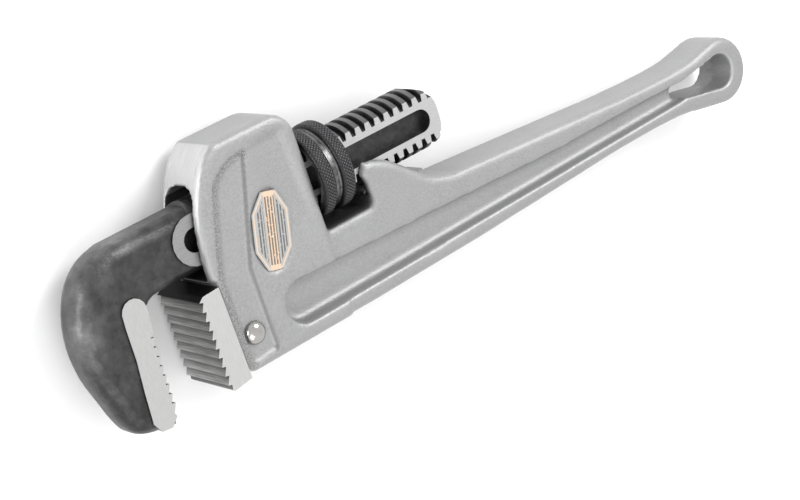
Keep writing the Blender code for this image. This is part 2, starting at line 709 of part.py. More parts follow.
def make_heel_pin(parts):
    """A pin with a domed head on the label side and a low peened end on the other."""
    face = HOUSING_HALF_THICKNESS - PANEL_DEPTH + TOUCH
    back = HOUSING_HALF_THICKNESS + TOUCH
    angles = np.radians(np.linspace(0, 75, 6))
    head = [(face + PIN_HEAD_HEIGHT * math.sin(a), PIN_HEAD_RADIUS * math.cos(a)) for a in angles]
    peened = PIN_RADIUS + PEENED_LIP
    profile = [(-back - 0.7, 0), (-back - 0.6, peened * 0.7), (-back, peened), (-back, PIN_RADIUS)]
    profile += [(face, PIN_RADIUS), *head, (face + PIN_HEAD_HEIGHT, 0)]
    pin = turned("heel_jaw_pin", profile, 24, parts)
    pin.location = (PIN_X * MM, PIN_Y * MM, 0)
    pin.rotation_euler = (0, -math.pi / 2, 0)
    paint(pin, (0.62, 0.6, 0.57), 0.2, 1.0)
    return pin


# ---------------------------------------------------------------- springs, rivet and label


def leaf_top(x):
    """The leaf spring's upper face: it lies on the saddle at the rivet and bows up to the shank."""
    flat_from = RIVET_X - 4
    lying = saddle_floor(x) + TOUCH + LEAF_THICKNESS
    touching = -SHANK_RADIUS - TOUCH
    crest = WINDOW_REAR + 5.5
    if x >= flat_from:
        return lying
    if x <= crest:
        return touching - 0.02 * (crest - x) ** 2
    share = (flat_from - x) / (flat_from - crest)
    blend = share * share * (3 - 2 * share)
    return lying + (touching - lying) * blend


def leaf_outline():
    front = WINDOW_REAR + LEAF_BEHIND_WALL
    xs = np.linspace(front, front + LEAF_LENGTH, 19)
    upper = [(float(x), leaf_top(float(x))) for x in xs]
    return upper + [(x, y - LEAF_THICKNESS) for x, y in reversed(upper)]


def make_flat_spring(parts, cutters):
    spring = prism("flat_spring", leaf_outline(), -LEAF_HALF_WIDTH, LEAF_HALF_WIDTH, parts)
    top = leaf_top(RIVET_X)
    ends = (RIVET_X, top + BEYOND, 0), (RIVET_X, top - LEAF_THICKNESS - BEYOND, 0)
    hole = cylinder("leaf_hole_cutter", RIVET_RADIUS + HOLE_SLACK, *ends, 16, cutters)
    combine(spring, "DIFFERENCE", [hole])
    paint(spring, (0.3, 0.3, 0.31), 0.35, 1.0)
    return spring


def make_coil_spring(parts):
    """A compression spring that stands in its pocket and lifts the leaf."""
    wire = SPRING_WIRE_RADIUS
    low = saddle_floor(SPRING_X) - SPRING_POCKET_DEPTH + TOUCH + wire
    high = leaf_top(SPRING_X + SPRING_RADIUS + wire) - LEAF_THICKNESS - TOUCH - wire
    pitch = (high - low) / SPRING_TURNS
    section = arc((low, SPRING_RADIUS), wire, 0, 300, 5)
    spring = helix("coil_spring", section, SPRING_TURNS, pitch, 14, parts)
    spring.data.transform(Matrix(((0, 1, 0, 0), (1, 0, 0, 0), (0, 0, -1, 0), (0, 0, 0, 1))))
    spring.location.x = SPRING_X * MM
    paint(spring, (0.35, 0.35, 0.36), 0.3, 1.0)
    return spring


def make_rivet(parts):
    under_head = leaf_top(RIVET_X) + TOUCH
    end = saddle_floor(RIVET_X) - RIVET_LENGTH
    profile = [(end, 0), (end, RIVET_RADIUS), (under_head, RIVET_RADIUS)]
    profile += [(under_head, RIVET_HEAD_RADIUS), (under_head + 0.55, 1.3), (under_head + 0.7, 0)]
    rivet = turned("spring_rivet", profile, 16, parts)
    rivet.location.x = RIVET_X * MM
    rivet.rotation_euler = (0, 0, math.pi / 2)
    paint(rivet, (0.4, 0.4, 0.4), 0.35, 1.0)
    return rivet


def make_label(parts):
    low = HOUSING_HALF_THICKNESS - LABEL_SEAT_DEPTH + TOUCH
    label = prism("caution_label", label_outline(), low, low + LABEL_THICKNESS, parts)
    paint(label, (0.75, 0.55, 0.38), 0.4, 0.2)
    return label


# ---------------------------------------------------------------- assembly


def rocking_axis():
    """The lower front edge of the nut, about which the jaw, the nut and the shank rock."""
    return (NUT_FRONT - 0.1, -SHANK_RADIUS - 2.0)


def stand_on_origin(root, nodes):
    """Moves everything so that the middle of the underside of the whole wrench is the origin."""
    bpy.context.view_layer.update()
    graph = bpy.context.evaluated_depsgraph_get()
    corners = []
    for node in nodes:
        mesh = node.evaluated_get(graph).to_mesh()
        points = np.empty(len(mesh.vertices) * 3, np.float32)
        mesh.vertices.foreach_get("co", points)
        world = np.array(node.matrix_world)
        points = points.reshape(-1, 3) @ world[:3, :3].T + world[:3, 3]
        corners += [points.min(axis=0), points.max(axis=0)]
        node.evaluated_get(graph).to_mesh_clear()
    low, high = np.min(corners, axis=0), np.max(corners, axis=0)
    root.location = (-(low[0] + high[0]) / 2, -(low[1] + high[1]) / 2, -low[2])


def main():
    for obj in list(bpy.data.objects):
        bpy.data.objects.remove(obj)
    parts = collection("pipe_wrench")
    cutters = collection("cutters")
    cutters.hide_render = True
    root = bpy.data.objects.new("wrench_root", None)
    rocker = bpy.data.objects.new("rocking_axis", None)
    parts.objects.link(root)
    parts.objects.link(rocker)
    rocker.location = (rocking_axis()[0] * MM, rocking_axis()[1] * MM, 0)
    fixed = [
        make_handle(parts, cutters),
        make_heel_jaw(parts, cutters),
        make_heel_pin(parts),
        make_coil_spring(parts),
        make_rivet(parts),
        make_label(parts),
        make_flat_spring(parts, cutters),
    ]
    moving = [make_hook_jaw(parts, cutters), make_nut(parts, cutters)]
    nodes = fixed + moving
    for obj in [*fixed, *cutters.objects, rocker]:
        obj.parent = root
    for obj in moving:
        obj.parent = rocker
        obj.location -= rocker.location
    stand_on_origin(root, nodes)
    print("OK")


main()
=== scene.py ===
# %% [markdown]
# # A pipe wrench, from its CAD model to a finished picture
#
# The wrench is nine pieces: a cast handle with its housing, a hook jaw whose threaded shank
# slides through the housing, a knurled nut that moves it, a heel jaw with its pin, two springs,
# a rivet and a label. Their shapes and places come from the imported model. Here each gets its
# finish. The handle and the nut also get a finer surface, and each spring gets a copy.

import math

import bmesh
import bpy
import numpy as np
from mathutils import Matrix, Vector


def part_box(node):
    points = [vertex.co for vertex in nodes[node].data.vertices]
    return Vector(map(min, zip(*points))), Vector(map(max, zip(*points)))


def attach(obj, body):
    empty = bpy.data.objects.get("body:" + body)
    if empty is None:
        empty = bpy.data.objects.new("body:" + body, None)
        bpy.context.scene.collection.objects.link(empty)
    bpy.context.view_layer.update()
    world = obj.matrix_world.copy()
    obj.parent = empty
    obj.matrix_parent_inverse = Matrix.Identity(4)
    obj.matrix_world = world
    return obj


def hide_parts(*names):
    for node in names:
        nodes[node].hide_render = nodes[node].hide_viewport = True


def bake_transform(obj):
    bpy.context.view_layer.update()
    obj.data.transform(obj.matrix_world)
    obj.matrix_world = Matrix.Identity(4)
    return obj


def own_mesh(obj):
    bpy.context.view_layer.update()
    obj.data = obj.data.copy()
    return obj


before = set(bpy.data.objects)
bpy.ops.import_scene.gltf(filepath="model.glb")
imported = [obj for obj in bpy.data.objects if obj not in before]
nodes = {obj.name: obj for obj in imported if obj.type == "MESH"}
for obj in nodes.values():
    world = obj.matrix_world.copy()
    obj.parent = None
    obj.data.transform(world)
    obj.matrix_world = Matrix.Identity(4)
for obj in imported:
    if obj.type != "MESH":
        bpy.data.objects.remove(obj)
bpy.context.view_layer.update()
MM = 0.001
print("nodes:", sorted(nodes))

# %% [markdown]
# Everything is placed from the shank's axis, which runs through the middle of the nut. So the
# first thing to work out is where that axis and the nut's front face are, from the nut's own box.
# Every length in this file is in millimetres until it is multiplied by MM.

# %% The shank's axis
NUT_FRONT_X = 49.3


def box_of(node):
    """The lowest and the highest corner of a node's box, as arrays in metres."""
    return (np.array(corner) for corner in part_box(node))


def place(x, y, z=0.0):
    """A point given in millimetres from the shank's axis: the axis's origin plus it, in metres."""
    return Vector(axis_origin + np.array([x, y, z]) * MM)


nut_low, nut_high = box_of("adjusting_nut")
nut_centre = (nut_low + nut_high) / 2
nut_length = nut_high[0] - nut_low[0]
axis_origin = np.array([nut_low[0] - NUT_FRONT_X * MM, nut_centre[1], nut_centre[2]])
print("origin of the shank's axis:", [round(float(v), 5) for v in axis_origin])

# %% [markdown]
# ## The casting's skin
#
# The handle and its housing are one aluminium casting. A casting has no sharp edges: every corner
# is as round as the sand mould left it. The CAD solid has the right planes but crisp corners.
# Bevels would need clean edges to follow, so instead the solid is remeshed in squares of a little
# over half a millimetre, and its points settle towards their neighbours. That rounds every corner
# alike, and leaves points enough to push broad shapes in with formulas afterwards.

# %% Cast the handle
JOIN_WITHIN = 0.002
SQUARE = 0.58
SKIN_ROUNDS = 2


def put_in_scene(name, data):
    """A new object in the scene that shows a mesh, a lamp or a camera."""
    thing = bpy.data.objects.new(name, data)
    bpy.context.scene.collection.objects.link(thing)
    return thing


def merged_copy(node, name):
    """A copy of a CAD node with the corners of its triangles joined."""
    mesh = nodes[node].data.copy()
    mesh.materials.clear()
    work = bmesh.new()
    work.from_mesh(mesh)
    bmesh.ops.remove_doubles(work, verts=work.verts, dist=JOIN_WITHIN * MM)
    work.to_mesh(mesh)
    work.free()
    mesh.name = name
    return put_in_scene(name, mesh)


def add_settling(piece, rounds):
    """Each round moves every point half of the way to the middle of its neighbours."""
    settle = piece.modifiers.new("settle", "SMOOTH")
    settle.factor = 0.5
    settle.iterations = rounds
    return settle


def apply_modifiers(piece):
    """Swaps the mesh for what its modifiers make of it."""
    graph = bpy.context.evaluated_depsgraph_get()
    made = bpy.data.meshes.new_from_object(piece.evaluated_get(graph))
    piece.modifiers.clear()
    old, piece.data = piece.data, made
    bpy.data.meshes.remove(old)


casting = merged_copy("handle", "handle_casting")
remesh = casting.modifiers.new("squares", "REMESH")
remesh.mode = "VOXEL"
remesh.voxel_size = SQUARE * MM
add_settling(casting, SKIN_ROUNDS)
apply_modifiers(casting)
print("casting:", sum(len(p.vertices) - 2 for p in casting.data.polygons), "triangles")

# %% [markdown]
# Every change to the skin from here on is a share from 0 to 1 for each point, worked out from
# where the point is. Nearly all shares are products of one smooth step and its two relatives, so
# that a change fades in and out where the real casting has no line.


# %% Points and smooth steps
def vectors_of(items, field):
    """One row for each item of a mesh, all read in one call."""
    values = np.empty(len(items) * 3, np.float32)
    items.foreach_get(field, values)
    return values.reshape(-1, 3).astype(float)


def points_of(piece):
    return vectors_of(piece.data.vertices, "co")


def set_points(piece, points):
    piece.data.vertices.foreach_set("co", points.astype(np.float32).ravel())
    piece.data.update()


def from_axis(points):
    """x, y and z in millimetres from the shank's axis, for points in metres."""
    return ((points - axis_origin) / MM).T


def step(x, start, end):
    """0 before start and 1 after end, with a smooth S between: 3t squared minus 2t cubed."""
    t = np.clip((x - start) / (end - start), 0, 1)
    return t * t * (3 - 2 * t)


def fade(x, start, end):
    """The step upside down: 1 before start and 0 after end."""
    return 1 - step(x, start, end)


def between(x, rise, fall):
    """A step over the range called rise, times a fade over the range called fall."""
    return step(x, *rise) * fade(x, *fall)


print("the step halfway:", step(0.5, 0, 1))

# %% [markdown]
# The housing's side isn't flat. A raised rim follows its top and its rear, and inside the rim the
# metal dishes in, deepest near the top rear corner and fading out towards the label and the
# handle. A sculpted mesh could show that too, but a formula keeps the rim's width even: the dish
# is a depth that depends on the distance from the rear edge and from the top edge.

# %% Dish the housing's sides
HOUSING_HALF = 10.3
HOUSING_TOP_Y = 23.7
HOUSING_REAR_X = 48.6
REAR_LEAN = 0.06
DISH_DEPTH = 1.05
REAR_RIM = (2.6, 6.2)
TOP_RIM = (3.2, 7.0)
DISH_END_AHEAD = (9.0, 21.0)
DISH_END_BELOW = (22.0, 48.0)
SIDE_SKIN = (HOUSING_HALF - 2.2, HOUSING_HALF - 0.9)
HANDLE_START = (HOUSING_REAR_X - 0.5, HOUSING_REAR_X + 0.5)


def rear_edge(y):
    """x of the housing's rear edge at a height, since that edge leans a little."""
    return HOUSING_REAR_X - REAR_LEAN * y


def dish_depth(x, y):
    """Full depth inside both rims, times a fade away from the rear and one away from the top."""
    from_rear = rear_edge(y) - x
    from_top = HOUSING_TOP_Y - y
    inside_rims = step(from_rear, *REAR_RIM) * step(from_top, *TOP_RIM)
    faded = fade(from_rear, *DISH_END_AHEAD) * fade(from_top, *DISH_END_BELOW)
    return DISH_DEPTH * inside_rims * faded


def dish_sides(piece):
    """Moves the points near the two flat sides towards the middle by the dish's depth."""
    points = points_of(piece)
    x, y, z = from_axis(points)
    shift = dish_depth(x, y) * step(np.abs(z), *SIDE_SKIN) * fade(x, *HANDLE_START)
    points[:, 2] -= np.sign(z) * shift * MM
    set_points(piece, points)
    print("deepest dish:", round(float(shift.max()), 2), "mm")


dish_sides(casting)

# %% [markdown]
# Two edges are softer than the rest. The lips and the floor of the long hollow in the handle have
# wide fillets, and so has the small step where the handle meets the housing. The points near
# those lines settle much further than the others did, each by its share.

# %% Soft fillets
HOLLOW = [(33.4, -38.0), (28.0, -35.4), (26.6, -31.4), (28.4, -26.6), (32.2, -24.5)]
HOLLOW += [(84, -26.6), (139, -29.3), (211.4, -30.1), (211.4, -36.3), (110, -37.4)]
LIP_REACH = (1.6, 3.0)
OFF_WEB = (3.4, 4.2)
HOLLOW_ENDS = ((24, 26), (205, 211))
ROOT_REACH = (1.2, 3.6)
ROOT_SIDES = (8.0, 9.0)
ROOT_UNDERSIDE = (-37, -35)
ROOT_TOP = (-17, -14)
FILLET_ROUNDS = 16
LEAST_SHARE = 0.02


def line_distance(x, y, corners, closed):
    """Distance in millimetres from each point to the nearest of the line's straight runs."""
    ends = corners[1:] + corners[:1] if closed else corners[1:]
    nearest = np.full(len(x), np.inf)
    for (ax, ay), (bx, by) in zip(corners, ends):
        dx, dy = bx - ax, by - ay
        t = np.clip(((x - ax) * dx + (y - ay) * dy) / (dx * dx + dy * dy), 0, 1)
        nearest = np.minimum(nearest, np.hypot(x - ax - t * dx, y - ay - t * dy))
    return nearest


def fillet_share(x, y, z):
    """The larger of two shares: near the hollow's outline, and near the handle's root."""
    off_middle = np.abs(z)
    lips = fade(line_distance(x, y, HOLLOW, True), *LIP_REACH) * step(off_middle, *OFF_WEB)
    outside = np.maximum(step(off_middle, *ROOT_SIDES), fade(y, *ROOT_UNDERSIDE))
    root = fade(np.abs(x - rear_edge(y)), *ROOT_REACH) * outside * fade(y, *ROOT_TOP)
    return np.maximum(lips * between(x, *HOLLOW_ENDS), root)


def settle_near(piece, share, rounds):
    """Settles the points by their share."""
    group = piece.vertex_groups.new(name="soft")
    for index in np.nonzero(share > LEAST_SHARE)[0]:
        group.add([int(index)], float(share[index]), "REPLACE")
    add_settling(piece, rounds).vertex_group = group.name
    apply_modifiers(piece)
    piece.vertex_groups.clear()


soft = fillet_share(*from_axis(points_of(casting)))
settle_near(casting, soft, FILLET_ROUNDS)
print("points in soft fillets:", int((soft > LEAST_SHARE).sum()))

# %% [markdown]
# The label side has a shallow panel behind its front face, and the bank that leads down to it was
# never cleaned up: it slopes by more than half a millimetre and is as coarse as the mould's sand.
# The slope is real geometry. Its coarseness is a finish, and so is the front of the housing, which
# was ground bright. A dark line round the panel's other sides and the dark insides are painted
# shade. A material can't know where those are, so each point of the casting stores four numbers
# for it to read.

# %% Bank and the painted shade line at the panel's step
BANK_LINE = [(28.8, 16.9), (25.2, 16.5), (21.6, 15.2), (18.9, 13.3), (17.0, 10.6)]
BANK_LINE += [(12.5, -4.1), (10.0, -13.2), (10.2, -40.4)]
PANEL_REAR = [(19.0, -40.0), (19.6, -38.5), (19.3, -14.4)]
BANK_WIDTH = 2.0
BANK_DEPTH = 0.6
BANK_EDGE = (BANK_WIDTH - 0.5, BANK_WIDTH)
BANK_FOOT = (0, 0.6)
STEP_SHADE_REACH = (0.3, 0.8)
SIDE_FACE = (HOUSING_HALF - 0.6, HOUSING_HALF - 0.3)
STEP_SHADE_FACE = (HOUSING_HALF - 1.2, HOUSING_HALF - 0.8)
BANK_FACE = (HOUSING_HALF - 1.6, HOUSING_HALF - 1.2)


def inside(x, y, corners):
    """Whether each point is inside a closed line: a ray from it crosses the line an odd number of
    times."""
    crossings = np.zeros(len(x), int)
    for (ax, ay), (bx, by) in zip(corners, corners[1:] + corners[:1]):
        level = (ay > y) != (by > y)
        crossings += level & (x < ax + (y - ay) * (bx - ax) / np.where(level, by - ay, 1))
    return crossings % 2 == 1


def set_attribute(piece, name, values):
    """Stores one number for each point, which a material can read."""
    attribute = piece.data.attributes.new(name, "FLOAT", "POINT")
    attribute.data.foreach_set("value", values.astype(np.float32))


def cut_bank(piece):
    """Lowers the side by a depth that falls in a straight line with distance from the panel."""
    points = points_of(piece)
    x, y, z = from_axis(points)
    off_bank = line_distance(x, y, BANK_LINE, False)
    off_step_shade = line_distance(x, y, PANEL_REAR + BANK_LINE[:1], False)
    ahead = 1.0 - inside(x, y, BANK_LINE + PANEL_REAR)
    slope = np.clip(1 - off_bank / BANK_WIDTH, 0, 1) * ahead * step(z, *SIDE_FACE)
    points[:, 2] -= BANK_DEPTH * slope * MM
    set_points(piece, points)
    coarse = fade(off_bank, *BANK_EDGE) * np.maximum(ahead, fade(off_bank, *BANK_FOOT))
    set_attribute(piece, "bank", coarse * step(z, *BANK_FACE))
    # painted shade: a dark line along the panel's other sides, at its small step
    set_attribute(piece, "step_shade", fade(off_step_shade, *STEP_SHADE_REACH) * step(z, *STEP_SHADE_FACE))
    print("bank cut over", int((slope > 0).sum()), "points")


cut_bank(casting)

# %% [markdown]
# Painted shade darkens the insides: the window round the nut, the channel that the shank slides
# through, and the seat of the heel jaw under it. The ground front is told from the rest by the way
# its points face.

# %% Painted shade and the ground front
WINDOW_X = ((43, 45), (66, 69))
WINDOW_Y = ((-26, -24), (-9, -6))
WINDOW_HALF = (8.4, 9.5)
CHANNEL_HALF = (7.6, 8.0)
CHANNEL_TOP = (10.9, 11.4)
CHANNEL_REAR = (46, 48)
CHANNEL_FLOOR = (-14, -13)
SEAT_FLOOR = (-41, -39)
SEAT_REAR = (20, 21)
FRONT_DIRECTION = (-0.96, 0.28, 0.0)
FACES_FRONT = (0.6, 0.8)
GROUND_REAR = (22, 24)


def painted_shade_share(x, y, z):
    """The larger of the window's share and the share of the channel with its seat."""
    window = between(x, *WINDOW_X) * between(y, *WINDOW_Y) * fade(np.abs(z), *WINDOW_HALF)
    channel = fade(np.abs(z), *CHANNEL_HALF) * fade(y, *CHANNEL_TOP) * fade(x, *CHANNEL_REAR)
    seat = step(y, *SEAT_FLOOR) * fade(x, *SEAT_REAR)
    return np.maximum(window, channel * np.maximum(step(y, *CHANNEL_FLOOR), seat))


x, y, z = from_axis(points_of(casting))
facing = vectors_of(casting.data.vertex_normals, "vector") @ np.array(FRONT_DIRECTION)
# painted shade: the window, the channel and the seat are darkened in colour
painted_shade = painted_shade_share(x, y, z)
set_attribute(casting, "painted_shade", painted_shade)
set_attribute(casting, "ground", step(facing, *FACES_FRONT) * fade(x, *GROUND_REAR))
casting.data.shade_smooth()
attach(casting, "handle")
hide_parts("handle")
print("shade_painted points:", int((painted_shade > 0).sum()))

# %% [markdown]
# ## Springs that give
#
# When the jaw rocks back, its shank presses the leaf down. The leaf is held at its rivet and
# bends towards its front end, and the coil under it gets shorter. The floor of the saddle is a
# little lower under the leaf's front, which is the room it bends into.

# %% Room under the leaf
LEAF_ROOM = 1.2
FRONT_START = (-0.15, -0.05)
RIVET_END = (0.7, 1.0)
LEAF_SIDE = (4.2, 4.8)
UNDER_LEAF = (3, 2)
OVER_LEAF = 1

leaf_low, leaf_high = box_of("flat_spring")
rivet_low, _ = box_of("spring_rivet")
leaf_middle = (leaf_low + leaf_high) / 2


def lower_saddle(piece):
    """Lowers the floor under the leaf, from its front end, 0 along it, almost to its rivet, 1."""
    points = points_of(piece)
    x, y, z = points.T
    along = (x - leaf_low[0]) / (rivet_low[0] - leaf_low[0])
    share = between(along, FRONT_START, RIVET_END)
    share *= fade(np.abs(z - leaf_middle[2]) / MM, *LEAF_SIDE)
    share *= step(y, *(leaf_low[1] - depth * MM for depth in UNDER_LEAF))
    share *= y < leaf_high[1] + OVER_LEAF * MM
    points[:, 1] -= LEAF_ROOM * MM * share
    set_points(piece, points)
    print("saddle lowered at", int((share > 0).sum()), "points")


lower_saddle(casting)

# %% [markdown]
# The leaf's copy has its place baked into its points. The coil's copy rides on the handle, with a
# mesh of its own.

# %% Copy the leaf and the coil
leaf = merged_copy("flat_spring", "bending_leaf")
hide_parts("flat_spring")
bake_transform(leaf)
coil = merged_copy("coil_spring", "pressed_coil")
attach(coil, "handle")
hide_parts("coil_spring")
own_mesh(coil)

# %% [markdown]
# ## The knurled nut
#
# The nut has two collars with a diamond knurl and a smooth waist between them. A knurling tool
# rolls two sets of crossing grooves into the metal, so the height of the surface is the smaller
# of two ridge waves that lean opposite ways. The knurl is too deep for bump alone: it shows in
# the nut's outline. So the nut is a grid of points, its section in one direction and the angle
# round the axis in the other. The bore is plain, because the shank hides the thread in it.

# %% Knurl the nut
NUT_RADIUS = 13.9
WAIST_RADIUS = 12.3
COLLAR = 4.6
CHAMFER = 0.7
FACE_RADIUS = NUT_RADIUS - CHAMFER - 0.1
SHOULDER_X = 0.25
SHOULDER_RADIUS = NUT_RADIUS - 0.4
SHOULDER_SHARE = 0.1
WAIST_ROOT = ((0.15, 0.1), (0.5, -0.02))
WAIST_SWELL = 0.08
SWELL_REACH = 0.3
BORE_RADIUS = 10.55
BORE_CHAMFER = 0.8
COLLAR_POINTS = 30
KNURLS_ROUND = 74
KNURL_DEPTH = 0.34
KNURL_SHARPNESS = 0.8
KNURL_LEVEL = 0.85
ROUND_STEPS = 888


def nut_section(length):
    """The nut's section as x and radius, and each point's share of the knurl."""
    middle = length / 2
    swell_x = middle - (length - 2 * COLLAR) / 2 * SWELL_REACH
    collar_x = np.linspace(CHAMFER, COLLAR - CHAMFER, COLLAR_POINTS)
    collar = np.stack([collar_x, 0 * collar_x + NUT_RADIUS, 0 * collar_x + 1], axis=1)
    face = [(0, BORE_RADIUS + BORE_CHAMFER, 0), (0, FACE_RADIUS, 0)]
    face += [(SHOULDER_X, SHOULDER_RADIUS, SHOULDER_SHARE)]
    slope = [(COLLAR - SHOULDER_X, SHOULDER_RADIUS, SHOULDER_SHARE), (COLLAR, FACE_RADIUS, 0)]
    waist = [(COLLAR + inward, WAIST_RADIUS + rise, 0) for inward, rise in WAIST_ROOT]
    waist += [(swell_x, WAIST_RADIUS + WAIST_SWELL, 0)]
    left = np.concatenate([face, collar, slope, waist])
    right = left[::-1] * [-1, 1, 1] + [length, 0, 0]
    bore = [(bore_x, BORE_RADIUS, 0) for bore_x in (length - BORE_CHAMFER, middle, BORE_CHAMFER)]
    return np.concatenate([left, right, bore])


def grid_faces(rows, columns):
    """Four-cornered faces over a grid that closes on itself both ways: each point with its next
    ones."""
    row, column = np.meshgrid(np.arange(rows), np.arange(columns), indexing="ij")
    next_row, next_column = (row + 1) % rows, (column + 1) % columns
    corners = [row * columns + column, next_row * columns + column]
    corners += [next_row * columns + next_column, row * columns + next_column]
    return np.stack(corners, axis=-1).reshape(-1, 4)


def knurled_nut():
    """Section by angle. The knurl is the smaller of two ridge waves, of angle plus and minus x."""
    section = nut_section(nut_length / MM)
    angle = np.linspace(0, math.tau, ROUND_STEPS, endpoint=False)[:, None]
    x, radius, share = section.T[:, None, :]
    turn = x / NUT_RADIUS
    waves = [np.abs(np.sin((angle + way * turn) * KNURLS_ROUND / 2)) for way in (-1, 1)]
    height = np.minimum(waves[0], waves[1]) ** KNURL_SHARPNESS
    radius = radius + share * KNURL_DEPTH * (height - KNURL_LEVEL)
    grid = np.broadcast_arrays(x + NUT_FRONT_X, radius * np.cos(angle), radius * np.sin(angle))
    points = np.stack(grid, axis=-1).reshape(-1, 3) * MM + axis_origin
    return points, grid_faces(ROUND_STEPS, len(section))


def mesh_object(name, points, faces):
    """A smooth-shaded object at the origin, with its place in its mesh."""
    mesh = bpy.data.meshes.new(name)
    mesh.from_pydata(points.tolist(), [], faces.tolist())
    mesh.shade_smooth()
    return put_in_scene(name, mesh)


nut = mesh_object("knurled_nut", *knurled_nut())
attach(nut, "nut")
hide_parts("adjusting_nut")
print("nut:", len(nut.data.polygons), "faces")

# %% [markdown]
# ## Edges on the steel pieces
#
# The jaws and the pin keep their CAD shape. Real steel never has a perfectly sharp edge, and it
# is the thin bright line along a broken edge that makes a part look solid. So each piece gets a
# narrow bevel on its sharp edges, after the loose corners of its triangles are joined.

# %% Break the sharp edges
EDGE_WIDTHS = {"hook_jaw": 0.22, "heel_jaw": 0.16, "heel_jaw_pin": 0.1}
SHARP_DEGREES = 32


def break_edges(piece, width):
    """Bevels each edge where the faces turn by more than SHARP_DEGREES, and keeps flats flat."""
    weld = piece.modifiers.new("join corners", "WELD")
    weld.merge_threshold = JOIN_WITHIN * MM
    bevel = piece.modifiers.new("broken edges", "BEVEL")
    bevel.width = width * MM
    bevel.segments = 2
    bevel.limit_method = "ANGLE"
    bevel.angle_limit = math.radians(SHARP_DEGREES)
    bevel.use_clamp_overlap = True
    level = piece.modifiers.new("flat faces shade flat", "WEIGHTED_NORMAL")
    level.mode = "FACE_AREA"
    level.weight = 100
    piece.data.shade_smooth()


for node, width in EDGE_WIDTHS.items():
    break_edges(nodes[node], width)
    print("edges broken on", node)

# %% [markdown]
# ## Finishes
#
# Each finish is built from the same few parts: a colour, a roughness, and a fine height that
# tilts the surface. All patterns are read in millimetres from the shank's axis, so a scale of 1
# means one cell for each millimetre, and none of them needs a picture or an unwrapped mesh.


# %% Nodes of a material
def new_material(name, colour, roughness, metallic):
    material = bpy.data.materials.new(name)
    material.use_nodes = True
    shader = material.node_tree.nodes["Principled BSDF"]
    shader.inputs["Base Color"].default_value = (*colour, 1)
    shader.inputs["Roughness"].default_value = roughness
    shader.inputs["Metallic"].default_value = metallic
    return material, material.node_tree, shader


def add(tree, kind, **settings):
    node = tree.nodes.new(kind)
    for key, value in settings.items():
        setattr(node, key, value)
    return node


def feed(tree, value, socket):
    """Links a socket to another's value, or sets it to a number or a colour."""
    if isinstance(value, bpy.types.NodeSocket):
        tree.links.new(value, socket)
    else:
        socket.default_value = (*value, 1) if isinstance(value, tuple) else value


def math_node(tree, operation, first, second=0.0):
    node = add(tree, "ShaderNodeMath", operation=operation)
    feed(tree, first, node.inputs[0])
    feed(tree, second, node.inputs[1])
    return node.outputs[0]


def product(tree, first, second):
    return math_node(tree, "MULTIPLY", first, second)


def minus(tree, vector, offset):
    """A vector less a fixed offset."""
    node = add(tree, "ShaderNodeVectorMath", operation="SUBTRACT")
    tree.links.new(vector, node.inputs[0])
    node.inputs[1].default_value = offset
    return node.outputs[0]


def split(tree, vector):
    node = add(tree, "ShaderNodeSeparateXYZ")
    tree.links.new(vector, node.inputs[0])
    return node.outputs


# %% [markdown]
# Nearly every pattern is a noise of some scale. Its values crowd round the middle, so a ramp
# picks the stretch that matters and spreads it over the wanted range. Noise that is squeezed in
# one direction gives brush marks and scratches.

# %% Patterns
NOISE_SPREAD = (0.3, 0.7)
NOISE_MIDDLE = (0.35, 0.65)


def object_place(tree, scale=(1, 1, 1)):
    """Millimetres from the shank's axis, with each direction stretched by its scale."""
    source = add(tree, "ShaderNodeTexCoord").outputs["Object"]
    mapping = add(tree, "ShaderNodeMapping")
    mapping.inputs["Scale"].default_value = [s / MM for s in scale]
    tree.links.new(minus(tree, source, axis_origin), mapping.inputs["Vector"])
    return mapping.outputs[0]


def noise(tree, vector, scale, detail=3.0, roughness=0.55):
    node = add(tree, "ShaderNodeTexNoise")
    node.inputs["Scale"].default_value = scale
    node.inputs["Detail"].default_value = detail
    node.inputs["Roughness"].default_value = roughness
    tree.links.new(vector, node.inputs["Vector"])
    return node.outputs["Fac"]


def brushed(tree, stretch):
    """Fine parallel scratches: noise that is stretched along one direction."""
    return noise(tree, object_place(tree, stretch), 1.0, 3, 0.6)


def ramp(tree, value, low, high, start, end):
    """Maps value from low..high onto start..end, and holds it at the ends."""
    node = add(tree, "ShaderNodeMapRange", clamp=True)
    tree.links.new(value, node.inputs["Value"])
    for name, number in zip(("From Min", "From Max", "To Min", "To Max"), (low, high, start, end)):
        node.inputs[name].default_value = number
    return node.outputs[0]


# %% [markdown]
# A finish is laid in coats, as paint is: a ground colour, then each coat where its mask says.
# The last step tilts the surface by a height, so that light catches the grain.


# %% Coats and grain
def blend_colours(tree, share, first, second):
    """first where share is 0, second where it is 1. Either may be a colour or a socket."""
    node = add(tree, "ShaderNodeMix", data_type="RGBA")
    tree.links.new(share, node.inputs["Factor"])
    feed(tree, first, node.inputs[6])
    feed(tree, second, node.inputs[7])
    return node.outputs[2]


def coats(tree, colour, *layers):
    """Lays each coat over what is below it. A coat is its mask from 0 to 1, and its colour."""
    for mask, coat in layers:
        colour = blend_colours(tree, mask, colour, coat)
    return colour


def bump(tree, shader, height, distance, strength):
    """Tilts the surface by a height. distance is the height's size in millimetres."""
    node = add(tree, "ShaderNodeBump")
    node.inputs["Strength"].default_value = strength
    node.inputs["Distance"].default_value = distance * MM
    tree.links.new(height, node.inputs["Height"])
    tree.links.new(node.outputs[0], shader.inputs["Normal"])


def paint(piece, material):
    """Gives a piece one finish: every material slot it has, or a new one."""
    slots = piece.data.materials
    if len(slots) == 0:
        slots.append(material)
    for index in range(len(slots)):
        slots[index] = material
